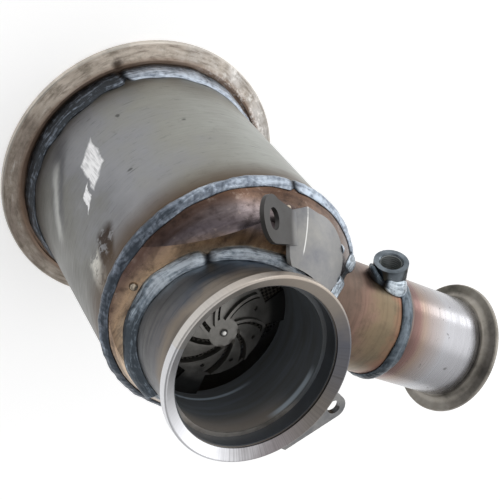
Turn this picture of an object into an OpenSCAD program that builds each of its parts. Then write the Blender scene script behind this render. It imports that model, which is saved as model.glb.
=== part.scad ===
// Diesel particulate filter: a round can with a large clamp flange at one end and, at the other,
// a domed end cap that carries a wide inlet neck and a side outlet with a sensor boss.
// The origin is the centre of the can flange's sealing face, +Z runs up the can, +X along the outlet.

/* [Can] */
// Outside diameter of the can
can_d = 154; // [152:0.5:156]
// Wall thickness of the can
can_wall = 2; // [1.5:0.25:2.5]
// Height of the can's upper edge above the flange face
can_top = 157.5; // [156:0.5:159]

/* [Can flange] */
// How far the flange reaches out past the can
flange_reach = 17.4; // [15:0.2:20]
// Height of the flange's straight outer edge
flange_edge = 4.6; // [3.5:0.1:5.5]
// How far out past the can the lip lies where the sloping back of the flange ends
flange_lip_reach = 7; // [6.5:0.1:8]
// Height of that lip above the flange face
flange_lip_z = 8.6; // [7.5:0.1:9.5]
// Width of the lip
flange_lip_w = 1.6; // [1:0.1:2]
// Depth of the groove between the lip and the weld
flange_groove = 3; // [2:0.25:3.5]
// Thickness of the stop that the can's end rests on
flange_stop = 1.5; // [1:0.25:2]
// How far that stop reaches in past the can's inside
flange_stop_lip = 1; // [0.5:0.1:2]
// Small chamfer on the flange's outer corners
flange_chamfer = 0.6; // [0.3:0.1:0.8]

/* [Can flange weld] */
// Height above the flange face at which the weld runs out on the can
flange_weld_top = 20.5; // [18:0.5:23]
// Greatest thickness of the weld outside the can
flange_weld_t = 3.4; // [2.5:0.1:3.8]
// Height of that weld's upright foot
flange_weld_foot = 2; // [1:0.25:3]

/* [Filter] */
// Diameter of the filter brick
brick_d = 142; // [140:0.5:143]
// Height of the brick's lower face above the flange face
brick_z = 14; // [12:0.5:16]
// Length of the brick
brick_len = 106; // [100:1:108]
// Pitch of the square segments the brick is built from
segment_pitch = 36; // [34:0.5:38]
// Thickness of the cement between the segments
cement_t = 1.2; // [0.8:0.1:2]
// How far the cement sits back from the brick's end faces
cement_sink = 0.6; // [0.3:0.1:1]
// Length of each of the two mat retaining rings
mat_ring_len = 4; // [3:0.5:5]

/* [End dome] */
// Depth of the dome's sphere centre below the can's upper edge
dome_sink = 36.5; // [35:0.5:38]
// Wall thickness of the dome
dome_wall = 2; // [1.5:0.25:2.5]
// Height at which the dome's slanted facet crosses the can axis, above the can's upper edge
facet_rise = 28.5; // [27.5:0.25:29.5]
// Slope of that facet, rising towards the outlet
facet_slope = 19.3; // [18.5:0.1:20]
// Distance of the step beside the facet from the can axis
step_reach = 60.8; // [60:0.2:62]
// Direction of that step round the facet
step_turn = 40; // [38:0.5:42]
// Height of the weld bead between can and dome
dome_weld_w = 6.5; // [5:0.25:8]
// Thickness of that bead outside the can
dome_weld_t = 1.8; // [1.2:0.1:2.4]

/* [Inlet neck] */
// Position of the neck's mouth along the outlet direction
neck_x = -6; // [-7:0.25:-5]
// Position of the neck's mouth across the outlet direction
neck_y = -7.6; // [-8.6:0.2:-6.6]
// Height of the neck's mouth above the can's upper edge
neck_rise = 63.5; // [61.5:0.5:65.5]
// Lean of the neck away from the can axis
neck_lean = 7; // [6:0.25:8]
// Outside diameter of the neck tube
neck_d = 100; // [98.5:0.25:101]
// Wall thickness of the neck tube
neck_wall = 1.8; // [1.5:0.1:2.2]
// Length of the neck tube below the mouth, through the dome wall
neck_len = 60; // [59:0.5:61]
// Height of the weld on the neck
neck_weld_h = 6; // [4.5:0.25:7]
// Width of the weld on the dome
neck_weld_w = 5.5; // [4:0.25:6.5]

/* [Neck flange] */
// Outside diameter of the neck flange
neck_flange_d = 112.4; // [111:0.2:114]
// How far the ring's bore lies inside the neck tube's outside
neck_lip = 0.8; // [0.5:0.1:1.5]
// Depth of the flange behind the mouth
neck_flange_back = 6.5; // [6:0.25:6.75]
// Rounding of the flange's outer front edge
neck_flange_round = 1.4; // [1:0.1:2]
// Depth behind the mouth at which the coned face meets the bore
neck_entry = 3.6; // [3:0.1:4.2]
// Depth behind the mouth of the socket's end for the tube
neck_socket = 5; // [4.6:0.1:5.4]

/* [Neck lug] */
// Distance of the lug's hole from the neck axis
lug_reach = 65.7; // [64:0.25:68]
// Direction of the lug round the neck axis
lug_angle = -10; // [-12:0.5:-8]
// Radius of the lug's rounded end
lug_r = 7.6; // [7:0.1:8.5]
// Diameter of the lug's hole
lug_hole_d = 8.4; // [8:0.1:9]
// Thickness of the lug plate
lug_t = 4; // [3:0.25:5]
// Depth of the lug plate's front behind the mouth
lug_depth = 7; // [6.8:0.1:8]
// Angle at which the lug's long edge leaves its rounded end
lug_edge_angle = 30; // [28:0.5:32]
// Length of the lug's long edge
lug_edge_len = 36; // [34:0.5:38]
// Half width of the lug's root on its short side
lug_root = 14; // [12:0.5:16]
// Length of the lug's weld, as an angle round the neck
lug_weld_arc = 20; // [14:1:24]

/* [Mixer sleeve] */
// Wall thickness of the sleeve inside the neck tube
sleeve_wall = 2.6; // [2:0.1:3]
// Depth of the sleeve's end behind the mouth
sleeve_depth = 14; // [12:0.5:16]

/* [Swirl plate] */
// Depth of the swirl plate's hub behind the mouth
swirl_depth = 46; // [44:0.5:48]
// Sheet thickness of the swirl plate
swirl_t = 1.2; // [1:0.1:1.5]
// Diameter of the plate's coned disc
swirl_disc_d = 62; // [60:0.5:66]
// Drop of the disc's rim below its hub
swirl_fall = 7; // [6:0.25:8]
// Drop of the plate's three legs from the rim to the sleeve
swirl_drop = 4; // [3:0.25:5]
// Width of each leg, as an angle round the plate
swirl_leg = 26; // [20:1:32]
// Direction of the first leg round the neck axis
swirl_leg_turn = 138; // [130:1:146]
// Number of curved passages
swirl_count = 8; // [6:1:8]
// Radius of the outer edge of each curved passage
swirl_arc_r = 27; // [26:0.25:28]
// Distance of that arc's centre from the middle of the plate
swirl_lead = 23; // [22:0.25:24]
// Radius of the uncut hub in the middle
swirl_hub_r = 9; // [8.5:0.1:10]
// Width of the uncut rim outside the passages
swirl_rim = 2; // [1.5:0.1:3]
// Width of each curved passage
swirl_gap = 2.6; // [2:0.1:3]
// Height of the pressed vane beside each passage
swirl_vane = 2.6; // [1.5:0.1:3]
// Thickness of the pressed vane
swirl_vane_t = 1.6; // [1:0.1:2]
// Diameter of the small hole between the vanes
swirl_hole_d = 2.6; // [2:0.1:3]
// Distance of the small holes from the middle
swirl_hole_r = 24; // [23:0.25:25]
// Turn of the small holes round the plate
swirl_hole_turn = 92; // [88:0.5:96]
// Diameter of the rivet head in the middle
rivet_d = 5; // [4:0.1:6]
// Diameter of the rivet shank
rivet_shank_d = 2.6; // [2:0.1:3]

/* [Outlet] */
// Height of the outlet axis above the can's upper edge
outlet_rise = 7.5; // [6.5:0.25:8.5]
// Offset of the outlet axis from the can axis
outlet_y = 16; // [15:0.25:17]
// Outside diameter of the stub and pipe
pipe_d = 64; // [63:0.25:65]
// Wall thickness of the stub and pipe
pipe_wall = 1.8; // [1.5:0.1:2.2]
// Distance from the can axis at which the stub and its weld begin
stub_start = 22; // [20:0.5:24]
// Distance of the joint between stub and pipe from the can axis
joint_x = 100; // [98:0.5:102]
// Distance of the outlet face from the can axis
outlet_x = 166; // [163:0.5:168]
// Width of the weld round the joint
joint_weld_w = 6.5; // [5:0.25:8]
// Thickness of that weld
joint_weld_t = 1.6; // [1:0.1:2.2]
// Width of the weld between stub and dome
stub_weld_w = 4; // [3:0.25:5]
// Thickness of that weld
stub_weld_t = 2.6; // [2:0.1:3.2]
// Outside diameter of the pipe's drawn-in end
pipe_end_d = 62; // [61:0.25:62.5]
// Length over which the pipe draws in
pipe_draw = 4.5; // [3.5:0.25:6]

/* [Outlet flange] */
// Outside diameter of the outlet flange
out_flange_d = 83; // [80:0.5:86]
// Thickness of the outlet flange at its rim
out_flange_rim = 3; // [2.5:0.25:4]
// Length of the outlet flange along the pipe
out_flange_len = 6.5; // [6:0.25:8]
// Thickness of the flange's hub round the pipe
out_flange_hub = 1.6; // [1.2:0.1:2]
// Radius of the concave back of the flange
out_flange_cove = 4.5; // [4:0.25:5.5]
// Thickness of the stop that the pipe's end rests on
out_flange_stop = 1.5; // [1:0.25:2]

/* [Sensor boss] */
// Distance of the boss from the can axis, along the outlet
boss_x = 83.3; // [82:0.1:84]
// Angle of the boss round the stub
boss_angle = 8.6; // [6:0.2:12]
// Lean of the boss towards the dome
boss_lean = 32; // [30:0.5:33]
// Outside diameter of the boss
boss_d = 21; // [20:0.25:22]
// Height of the boss's end above the stub
boss_h = 14; // [13:0.5:15]
// Diameter of the boss's thread before cutting
boss_bore_d = 12.5; // [12:0.1:13]
// Chamfer at the mouth of the boss
boss_chamfer = 1.2; // [0.6:0.1:1.6]
// Width of the weld round the boss
boss_weld_w = 2.6; // [2:0.1:3.2]
// Height of that weld
boss_weld_h = 3.2; // [2.5:0.1:4]

/* [Bracket] */
// Thickness of the bracket sheet
bracket_t = 2.5; // [2:0.25:3]
// Direction of the bracket plate round the can axis
plate_heading = 77; // [76:0.5:78]
// Angle of the bracket plate from the top of the dome's sphere
plate_fall = 40; // [39:0.5:41]
// Radius of the plate's round edge on the outlet side
plate_r = 22.5; // [22:0.25:23]
// Distance of the plate's lower corner from the middle, down the dome
plate_low = 21.6; // [21:0.2:22.2]
// Distance of that corner from the middle, across the plate
plate_tip = 15; // [14:0.25:16]
// Distance of the fold's lower end from the middle, down the dome
plate_nose = 14; // [13:0.25:15]
// Distance of the fold's lower end from the middle, across the plate
plate_fold_low = 25.5; // [25:0.25:26]
// Distance of the plate's upper edge from the middle, up the dome
plate_up = 18; // [17:0.25:19]
// Distance of the plate's free edge from the middle, at the upper edge
plate_fold_up = 14.5; // [14:0.25:15]
// Distance of the plate's upper corner from the middle, on the outlet side
plate_up_side = 12; // [11:0.25:13]
// Direction that the ear faces, round the can axis
ear_heading = 58.3; // [57:0.1:60]
// Angle that the ear faces away from the can axis
ear_fall = 52.4; // [51:0.1:54]
// Turn of the ear in its own plane
ear_turn = 134.5; // [133:0.5:136]
// Distance of the fold's middle from the middle of the plate, down the dome
ear_foot = 7; // [6:0.25:8]
// Distance of the fold's middle from the middle of the plate, across it
ear_side = 20.5; // [20:0.1:21]
// Distance of the ear's hole from the fold
ear_reach = 30.3; // [29:0.1:32]
// Distance of the ear's hole from the fold's middle, along the fold
ear_off = 4.4; // [3.5:0.1:5.5]
// Reach of the ear's root along the fold, on the hole's side
ear_root = 7; // [6:0.25:8]
// Reach of the ear's root along the fold, on the other side
ear_root_far = 11; // [10:0.25:12]
// Radius of the ear's rounded end
ear_r = 13; // [12:0.25:14]
// Diameter of the ear's hole
ear_hole_d = 12; // [10:0.25:13]
// Radius of the bracket's tack welds
tack_r = 3.5; // [3:0.25:4]
// Direction of the middle between the two tack welds, round the plate
tack_mid = -80; // [-84:1:-76]
// Angle between the two tack welds, round the plate
tack_gap = 46; // [42:1:50]

/* [Hidden] */
$fn = 96;
can_r = can_d / 2;
can_bore_r = can_r - can_wall;
flange_r = can_r + flange_reach;
flange_lip_r = can_r + flange_lip_reach;
mouth_r = can_bore_r - flange_stop_lip;
flange_floor = flange_lip_z - flange_groove;
flange_groove_r = flange_lip_r - flange_lip_w;
brick_r = brick_d / 2;
mat_z = brick_z + mat_ring_len;
mat_len = brick_len - 2 * mat_ring_len;
dome_cz = can_top - dome_sink;
facet_z = can_top + facet_rise;
neck_z = can_top + neck_rise;
outlet_z = can_top + outlet_rise;
dome_r = sqrt(pow(can_r, 2) + pow(dome_sink, 2));
neck_r = neck_d / 2;
neck_bore_r = neck_r - neck_lip;
// Inner end of the lug plate before the tube cuts it
lug_foot = 0.6 * neck_r;
// Point where the lug's long edge leaves its rounded end
lug_edge_x = lug_reach + lug_r * cos(lug_edge_angle);
lug_edge_y = -lug_r * sin(lug_edge_angle);
neck_flange_r = neck_flange_d / 2;
neck_entry_r = neck_flange_r - neck_flange_round;
sleeve_r = neck_r - neck_wall;
swirl_r = sleeve_r - sleeve_wall;
swirl_disc_r = swirl_disc_d / 2;
pipe_r = pipe_d / 2;
pipe_bore_r = pipe_r - pipe_wall;
pipe_end_r = pipe_end_d / 2;
out_flange_r = out_flange_d / 2;
out_back = outlet_x - out_flange_len;
boss_r = boss_d / 2;
boss_bore_r = boss_bore_d / 2;
// Half the size of the blocks that stand for everything on one side of a plane
big = 200;
// Overlap of a cutting tool past the face it opens
over = 1;
// Play that keeps the straight steps of a weld's profile outside a round face
weld_play = 0.02;

// Rounded quarter turn as a list of points, from angle a0 to a1 about a centre.
function quarter(cx, cy, rx, ry, a0, a1, n = 8) =
    [for (i = [0 : n]) [cx + rx * cos(a0 + (a1 - a0) * i / n), cy + ry * sin(a0 + (a1 - a0) * i / n)]];

// Point just outside the dome's round side at a given height, as radius and height.
function dome_side(z) = [sqrt(pow(dome_r + weld_play, 2) - pow(z - dome_cz, 2)), z];

// The dome's outside skin set in by a distance, as a solid from a given height up.
module dome_body(inset, floor_z) {
    difference() {
        translate([0, 0, dome_cz])
            sphere(r = dome_r - inset);
        translate([-big, -big, floor_z - 2 * big])
            cube([2 * big, 2 * big, 2 * big]);
        recess(inset);
    }
}

// What the press takes out of the ball beside the neck: a step down to the slanted facet.
module recess(inset) {
    translate([0, 0, facet_z])
        rotate([0, -facet_slope, 0])
            rotate([0, 0, step_turn])
                translate([-big, step_reach + inset - 2 * big, -inset])
                    cube([2 * big, 2 * big, big]);
}

// Places a child in the neck's own frame: origin at the mouth, +Z out of the mouth.
module at_neck() {
    translate([neck_x, neck_y, neck_z])
        rotate([-neck_lean, 0, 0])
            children();
}

// Solid round bar along the neck axis.
module neck_bar(r, from, to) {
    at_neck()
        translate([0, 0, from])
            cylinder(r = r, h = to - from);
}

// Places a child in the outlet's frame: origin on the can axis, +Z out along the outlet.
module at_outlet() {
    translate([0, outlet_y, outlet_z])
        rotate([0, 90, 0])
            children();
}

// Solid round bar along the outlet axis.
module outlet_bar(r, from, to) {
    at_outlet()
        translate([0, 0, from])
            cylinder(r = r, h = to - from);
}

// Places a child in the boss's frame: origin on the stub's outside, +Z out of the boss.
module at_boss() {
    translate([boss_x, outlet_y, outlet_z])
        rotate([boss_angle, 0, 0])
            translate([0, pipe_r, 0])
                rotate([0, 0, boss_lean])
                    rotate([-90, 0, 0])
                        children();
}

// The gas space inside the can and the dome, used to trim tubes that pass the wall.
module inside() {
    dome_body(dome_wall, can_top - dome_sink);
    translate([0, 0, can_top - 2 * dome_sink])
        cylinder(r = can_bore_r, h = 2 * dome_sink);
}

// Places a child in the bracket plate's frame: origin at the dome's centre, +Z out through the plate.
module at_plate() {
    translate([0, 0, dome_cz])
        rotate([0, plate_fall, plate_heading])
            children();
}

module can_flange() {
    color("#b9aea2")
        rotate_extrude()
            polygon([[mouth_r, 0], [flange_r - flange_chamfer, 0], [flange_r, flange_chamfer],
                     [flange_r, flange_edge - flange_chamfer], [flange_r - flange_chamfer, flange_edge],
                     [flange_lip_r, flange_lip_z], [flange_groove_r, flange_lip_z],
                     [flange_groove_r, flange_floor], [can_r, flange_floor],
                     [can_r, flange_stop], [mouth_r, flange_stop]]);
}

module can_flange_weld() {
    color("#8f9aa3")
        rotate_extrude()
            polygon(concat([[can_r, flange_floor], [can_r + flange_weld_t, flange_floor]],
                           quarter(can_r, flange_floor + flange_weld_foot, flange_weld_t,
                                   flange_weld_top - flange_floor - flange_weld_foot, 0, 90)));
}

module can_shell() {
    color("#a3a29c")
        difference() {
            translate([0, 0, flange_stop])
                cylinder(r = can_r, h = can_top - flange_stop);
            translate([0, 0, flange_stop - over])
                cylinder(r = can_bore_r, h = can_top);
            outlet_bar(pipe_r, can_bore_r / 2, joint_x);
        }
}

// Square grid bars across the brick, wider than the brick, of the cement's thickness.
module cement_bars(h) {
    for (i = [-2 : 2]) {
        translate([(i * segment_pitch) - cement_t / 2, -brick_r - over, 0])
            cube([cement_t, 2 * brick_r + 2 * over, h]);
        translate([-brick_r - over, (i * segment_pitch) - cement_t / 2, 0])
            cube([2 * brick_r + 2 * over, cement_t, h]);
    }
}

module filter_segments() {
    color("#6f6c66")
        difference() {
            translate([0, 0, brick_z])
                cylinder(r = brick_r, h = brick_len);
            translate([0, 0, brick_z - over])
                cement_bars(brick_len + 2 * over);
        }
}

module filter_cement() {
    color("#8a867c")
        intersection() {
            translate([0, 0, brick_z + cement_sink])
                cylinder(r = brick_r, h = brick_len - 2 * cement_sink);
            translate([0, 0, brick_z])
                cement_bars(brick_len);
        }
}

module support_mat() {
    color("#d8d2c2")
        translate([0, 0, mat_z])
            difference() {
                cylinder(r = can_bore_r, h = mat_len);
                translate([0, 0, -over])
                    cylinder(r = brick_r, h = mat_len + 2 * over);
            }
}

module mat_rings() {
    color("#8d8f92")
        for (z = [mat_z - mat_ring_len, mat_z + mat_len])
            translate([0, 0, z])
                difference() {
                    cylinder(r = can_bore_r, h = mat_ring_len);
                    translate([0, 0, -over])
                        cylinder(r = brick_r, h = mat_ring_len + 2 * over);
                }
}

module end_dome() {
    color("#7d6558")
        difference() {
            dome_body(0, can_top);
            dome_body(dome_wall, can_top - over);
            neck_bar(neck_r, -neck_len - dome_sink, 0);
            outlet_bar(pipe_r, 0, joint_x);
        }
}

module dome_weld() {
    color("#7f8890")
        difference() {
            rotate_extrude()
                polygon(concat([[can_r, can_top]],
                               quarter(can_r, can_top, dome_weld_t, dome_weld_w / 2, -90, 60),
                               [for (i = [4 : -1 : 1]) dome_side(can_top + i * dome_weld_w / 8)]));
            outlet_bar(pipe_r + stub_weld_w, 0, joint_x);
        }
}

module neck_tube() {
    color("#5d6064")
        difference() {
            neck_bar(neck_r, -neck_len, -neck_socket);
            neck_bar(neck_r - neck_wall, -neck_len - over, 0);
        }
}

module neck_weld() {
    color("#8792a0")
        difference() {
            intersection() {
                neck_bar(neck_r + neck_weld_w, -neck_len, -neck_flange_back);
                dome_body(-neck_weld_h, can_top);
            }
            neck_bar(neck_r, -neck_len - over, 0);
            dome_body(0, can_top - over);
            translate([0, 0, can_top - over])
                difference() {
                    cylinder(r = 2 * can_r, h = dome_sink);
                    translate([0, 0, -over])
                        cylinder(r = can_r - dome_weld_t, h = dome_sink + 2 * over);
                }
            outlet_bar(pipe_r + stub_weld_w, 0, joint_x);
        }
}

module neck_flange() {
    color("#b4b1ad")
        at_neck()
            rotate_extrude()
                polygon(concat([[neck_bore_r, -neck_entry], [neck_bore_r, -neck_socket],
                                [neck_r, -neck_socket], [neck_r, -neck_flange_back],
                                [neck_flange_r - flange_chamfer, -neck_flange_back],
                                [neck_flange_r, -neck_flange_back + flange_chamfer]],
                               quarter(neck_entry_r, -neck_flange_round,
                                       neck_flange_round, neck_flange_round, 0, 90)));
}

module neck_lug() {
    color("#8b8a88")
        at_neck()
            rotate([0, 0, lug_angle])
                translate([0, 0, -lug_depth - lug_t])
                    difference() {
                        union() {
                            translate([lug_reach, 0, 0])
                                cylinder(r = lug_r, h = lug_t);
                            linear_extrude(lug_t)
                                polygon([[lug_reach, lug_r], [lug_foot, lug_root],
                                         [lug_foot, -lug_edge_len],
                                         [lug_edge_x - lug_edge_len * sin(lug_edge_angle),
                                          lug_edge_y - lug_edge_len * cos(lug_edge_angle)],
                                         [lug_edge_x, lug_edge_y]]);
                        }
                        translate([0, 0, -over])
                            cylinder(r = neck_r, h = lug_t + 2 * over);
                        translate([lug_reach, 0, -over])
                            cylinder(d = lug_hole_d, h = lug_t + 2 * over);
                    }
}

module lug_weld() {
    color("#77797c")
        at_neck()
            rotate([0, 0, lug_angle])
                translate([0, 0, -lug_depth - lug_t])
                    rotate_extrude(angle = lug_weld_arc, start = -lug_weld_arc)
                        polygon([[neck_r, 0], [neck_r, -lug_t], [neck_r + lug_t, 0]]);
}

module mixer_sleeve() {
    color("#6a6762")
        difference() {
            neck_bar(sleeve_r, -neck_len, -sleeve_depth);
            neck_bar(swirl_r, -neck_len - over, 0);
        }
}

// One curved passage as a flat outline: a bow that sweeps from the hub to the rim.
module sweep(r_in, r_out) {
    intersection() {
        difference() {
            translate([swirl_lead, 0])
                difference() {
                    circle(r = r_out);
                    circle(r = r_in);
                }
            translate([-big, -big])
                square([2 * big, big]);
            circle(r = swirl_hub_r);
        }
        circle(r = swirl_disc_r - swirl_rim);
    }
}

// The coned disc of the swirl plate, with its upper side raised by a height.
module swirl_cone(raise) {
    rotate_extrude()
        polygon([[0, raise], [0, -swirl_t], [swirl_hub_r, -swirl_t], [swirl_disc_r, -swirl_fall - swirl_t],
                 [swirl_disc_r, raise - swirl_fall], [swirl_hub_r, raise]]);
}

module swirl_plate() {
    color("#85857f")
        at_neck()
            translate([0, 0, -swirl_depth])
                difference() {
                    union() {
                        swirl_cone(0);
                        for (i = [0 : 2])
                            rotate_extrude(angle = swirl_leg, start = swirl_leg_turn + 120 * i)
                                polygon([[swirl_disc_r - swirl_t, -swirl_fall], [swirl_disc_r, -swirl_fall],
                                         [swirl_r, -swirl_fall - swirl_drop],
                                         [swirl_r, -swirl_fall - swirl_drop - 3 * swirl_t],
                                         [swirl_r - swirl_t, -swirl_fall - swirl_drop - 3 * swirl_t],
                                         [swirl_r - swirl_t, -swirl_fall - swirl_drop - swirl_t],
                                         [swirl_disc_r - swirl_t, -swirl_fall - swirl_t]]);
                        for (i = [0 : swirl_count - 1])
                            rotate([0, 0, 360 * i / swirl_count])
                                intersection() {
                                    swirl_cone(swirl_vane);
                                    translate([0, 0, -swirl_fall - swirl_t])
                                        linear_extrude(swirl_fall + swirl_t + swirl_vane)
                                            sweep(swirl_arc_r, swirl_arc_r + swirl_vane_t);
                                }
                    }
                    for (i = [0 : swirl_count - 1])
                        rotate([0, 0, 360 * i / swirl_count]) {
                            translate([0, 0, -swirl_fall - swirl_t - over])
                                linear_extrude(swirl_fall + swirl_t + 2 * over)
                                    sweep(swirl_arc_r - swirl_gap, swirl_arc_r);
                            rotate([0, 0, swirl_hole_turn])
                                translate([swirl_hole_r, 0, -swirl_fall - swirl_t - over])
                                    cylinder(d = swirl_hole_d, h = swirl_fall + swirl_t + 2 * over, $fn = 32);
                        }
                    translate([0, 0, -swirl_t - over])
                        cylinder(d = rivet_shank_d, h = swirl_t + 2 * over, $fn = 32);
                }
}

module swirl_rivet() {
    color("#d4d4d0")
        at_neck()
            translate([0, 0, -swirl_depth]) {
                intersection() {
                    sphere(d = rivet_d, $fn = 48);
                    cylinder(d = 2 * rivet_d, h = rivet_d);
                }
                translate([0, 0, -swirl_t])
                    cylinder(d = rivet_shank_d, h = swirl_t, $fn = 32);
                translate([0, 0, -swirl_t - rivet_shank_d / 2])
                    cylinder(d = rivet_d, h = rivet_shank_d / 2, $fn = 48);
            }
}

module outlet_stub() {
    color("#8a6a55")
        difference() {
            outlet_bar(pipe_r, 0, joint_x);
            outlet_bar(pipe_bore_r, -over, joint_x + over);
            inside();
            neck_bar(neck_r, -neck_len - dome_sink, 0);
            translate([stub_start - 2 * big, -big, 0])
                cube([2 * big, 2 * big, 2 * big]);
            at_boss()
                translate([0, 0, -pipe_r / 2])
                    cylinder(r = boss_bore_r, h = pipe_r);
        }
}

module stub_weld() {
    color("#8c9196")
        difference() {
            intersection() {
                outlet_bar(pipe_r + stub_weld_w, 0, joint_x);
                union() {
                    dome_body(-stub_weld_t, can_top);
                    cylinder(r = can_r + stub_weld_t, h = can_top);
                }
            }
            outlet_bar(pipe_r, -over, joint_x + over);
            dome_body(0, can_top - over);
            cylinder(r = can_r, h = can_top);
            neck_bar(neck_r, -neck_len - dome_sink, 0);
            translate([stub_start - 2 * big, -big, 0])
                cube([2 * big, 2 * big, 2 * big]);
        }
}

module sensor_boss() {
    color("#54565a")
        difference() {
            at_boss()
                translate([0, 0, -boss_r])
                    cylinder(r = boss_r, h = boss_r + boss_h);
            outlet_bar(pipe_r, 0, outlet_x);
            at_boss() {
                translate([0, 0, -boss_d])
                    cylinder(r = boss_bore_r, h = boss_d + boss_h + over);
                translate([0, 0, boss_h - boss_chamfer])
                    cylinder(r1 = boss_bore_r, r2 = boss_bore_r + 2 * boss_chamfer, h = 2 * boss_chamfer);
            }
        }
}

module boss_weld() {
    color("#a3aab0")
        difference() {
            at_boss()
                translate([0, 0, -boss_r])
                    cylinder(r = boss_r + boss_weld_w, h = boss_r + boss_weld_h);
            outlet_bar(pipe_r, 0, outlet_x);
            at_boss()
                translate([0, 0, -boss_d])
                    cylinder(r = boss_r, h = 2 * boss_d);
            translate([joint_x - joint_weld_w / 2, -big, 0])
                cube([big, 2 * big, 2 * big]);
        }
}

module outlet_pipe() {
    color("#c9c9c7")
        at_outlet()
            rotate_extrude()
                polygon(concat([[pipe_bore_r, joint_x], [pipe_r, joint_x]],
                               quarter(pipe_end_r, out_back - pipe_draw,
                                       pipe_r - pipe_end_r, pipe_draw, 0, 90),
                               [[pipe_end_r, outlet_x - out_flange_stop],
                                [pipe_end_r - pipe_wall, outlet_x - out_flange_stop]],
                               quarter(pipe_end_r - pipe_wall, out_back - pipe_draw,
                                       pipe_bore_r - pipe_end_r + pipe_wall, pipe_draw - pipe_wall, 90, 0)));
}

module joint_weld() {
    color("#8e9296")
        at_outlet()
            rotate_extrude()
                polygon(concat([[pipe_r, joint_x - joint_weld_w / 2]],
                               quarter(pipe_r, joint_x, joint_weld_t, joint_weld_w / 2, -75, 75),
                               [[pipe_r, joint_x + joint_weld_w / 2]]));
}

module outlet_flange() {
    color("#5d5a52")
        at_outlet()
            rotate_extrude()
                polygon(concat([[pipe_end_r, out_back], [pipe_end_r + out_flange_hub, out_back]],
                               quarter(pipe_end_r + out_flange_hub + out_flange_cove, out_back,
                                       -out_flange_cove, outlet_x - out_flange_rim - out_back, 0, 90),
                               [[out_flange_r - flange_chamfer, outlet_x - out_flange_rim],
                                [out_flange_r, outlet_x - out_flange_rim + flange_chamfer],
                                [out_flange_r, outlet_x - flange_chamfer],
                                [out_flange_r - flange_chamfer, outlet_x],
                                [pipe_end_r - pipe_wall, outlet_x],
                                [pipe_end_r - pipe_wall, outlet_x - out_flange_stop],
                                [pipe_end_r, outlet_x - out_flange_stop]]));
}

// Flat outline of the bracket plate, seen from outside the dome, round on the outlet side.
module plate_outline() {
    polygon([[plate_nose, plate_fold_low], [-plate_up, plate_fold_up], [-plate_up, -plate_up_side],
             [plate_low, 0], [plate_low, plate_tip]]);
    circle(r = plate_r);
}

// Places a child on the plate's outside at a point of its outline, without turning it.
module on_plate(x, y) {
    at_plate()
        translate([x, y, sqrt(pow(dome_r, 2) - pow(x, 2) - pow(y, 2))])
            rotate([0, -plate_fall, 0])
                rotate([0, 0, -plate_heading])
                    children();
}

// Places a child at the bracket's fold: +X along the ear, +Z the way the ear faces.
module at_ear() {
    on_plate(ear_foot, ear_side)
        rotate([0, ear_fall, ear_heading])
            rotate([0, 0, ear_turn])
                children();
}

// The bracket plate: a piece of a ball's skin that lies on the dome.
module bracket_plate() {
    intersection() {
        translate([0, 0, dome_cz])
            difference() {
                sphere(r = dome_r + bracket_t);
                sphere(r = dome_r);
            }
        at_plate()
            linear_extrude(big)
                plate_outline();
    }
}

// Flat outline of the bracket's ear, from the fold to its round end.
module ear_outline() {
    polygon([[0, -ear_root], [ear_reach, -ear_off - ear_r], [ear_reach, ear_r - ear_off], [0, ear_root_far]]);
    translate([ear_reach, -ear_off])
        circle(r = ear_r);
}

module bracket() {
    color("#8f908d")
        difference() {
            union() {
                bracket_plate();
                difference() {
                    at_ear()
                        linear_extrude(bracket_t)
                            ear_outline();
                    translate([0, 0, dome_cz])
                        sphere(r = dome_r);
                }
            }
            at_ear()
                translate([ear_reach, -ear_off, -over])
                    cylinder(d = ear_hole_d, h = bracket_t + 2 * over);
            neck_bar(neck_r + neck_weld_w, -neck_len, 0);
            outlet_bar(pipe_r + stub_weld_w, 0, joint_x);
        }
}

module bracket_tacks() {
    color("#8c949c")
        difference() {
            for (turn = [tack_mid + tack_gap / 2, tack_mid - tack_gap / 2])
                on_plate(plate_r * cos(turn), plate_r * sin(turn))
                    sphere(r = tack_r, $fn = 48);
            translate([0, 0, dome_cz])
                sphere(r = dome_r, $fn = 240);
            at_plate()
                linear_extrude(big)
                    plate_outline();
            outlet_bar(pipe_r + stub_weld_w, 0, joint_x);
        }
}

can_flange();
can_flange_weld();
can_shell();
filter_segments();
filter_cement();
support_mat();
mat_rings();
end_dome();
dome_weld();
neck_tube();
neck_weld();
neck_flange();
neck_lug();
lug_weld();
mixer_sleeve();
swirl_plate();
swirl_rivet();
outlet_stub();
stub_weld();
sensor_boss();
boss_weld();
outlet_pipe();
joint_weld();
outlet_flange();
bracket();
bracket_tacks();
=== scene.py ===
import math

import bpy
import numpy as np
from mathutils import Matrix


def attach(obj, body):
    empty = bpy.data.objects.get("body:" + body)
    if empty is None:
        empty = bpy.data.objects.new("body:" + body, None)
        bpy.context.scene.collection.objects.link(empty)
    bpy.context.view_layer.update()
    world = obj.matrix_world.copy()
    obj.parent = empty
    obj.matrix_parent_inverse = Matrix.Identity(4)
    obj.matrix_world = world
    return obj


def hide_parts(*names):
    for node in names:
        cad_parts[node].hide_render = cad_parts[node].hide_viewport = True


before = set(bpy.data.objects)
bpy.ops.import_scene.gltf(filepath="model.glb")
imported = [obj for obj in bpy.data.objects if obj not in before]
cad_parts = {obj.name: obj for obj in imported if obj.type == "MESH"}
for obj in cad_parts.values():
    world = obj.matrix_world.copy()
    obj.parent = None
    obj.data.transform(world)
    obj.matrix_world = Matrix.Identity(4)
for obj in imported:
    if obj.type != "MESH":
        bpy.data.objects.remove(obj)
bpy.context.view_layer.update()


# Can flange. A pressed and turned ring of stainless steel that a band clamp grips.
# Warm grey with lathe lines, rubbed pale on the outlet side, darker on the far side as painted shade, with a
# painted highlight along its rim, browned by the heat of its weld.
# Real lathe lines lie about 0.1 mm apart; these are drawn at 0.6 mm, so that they show.


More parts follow.
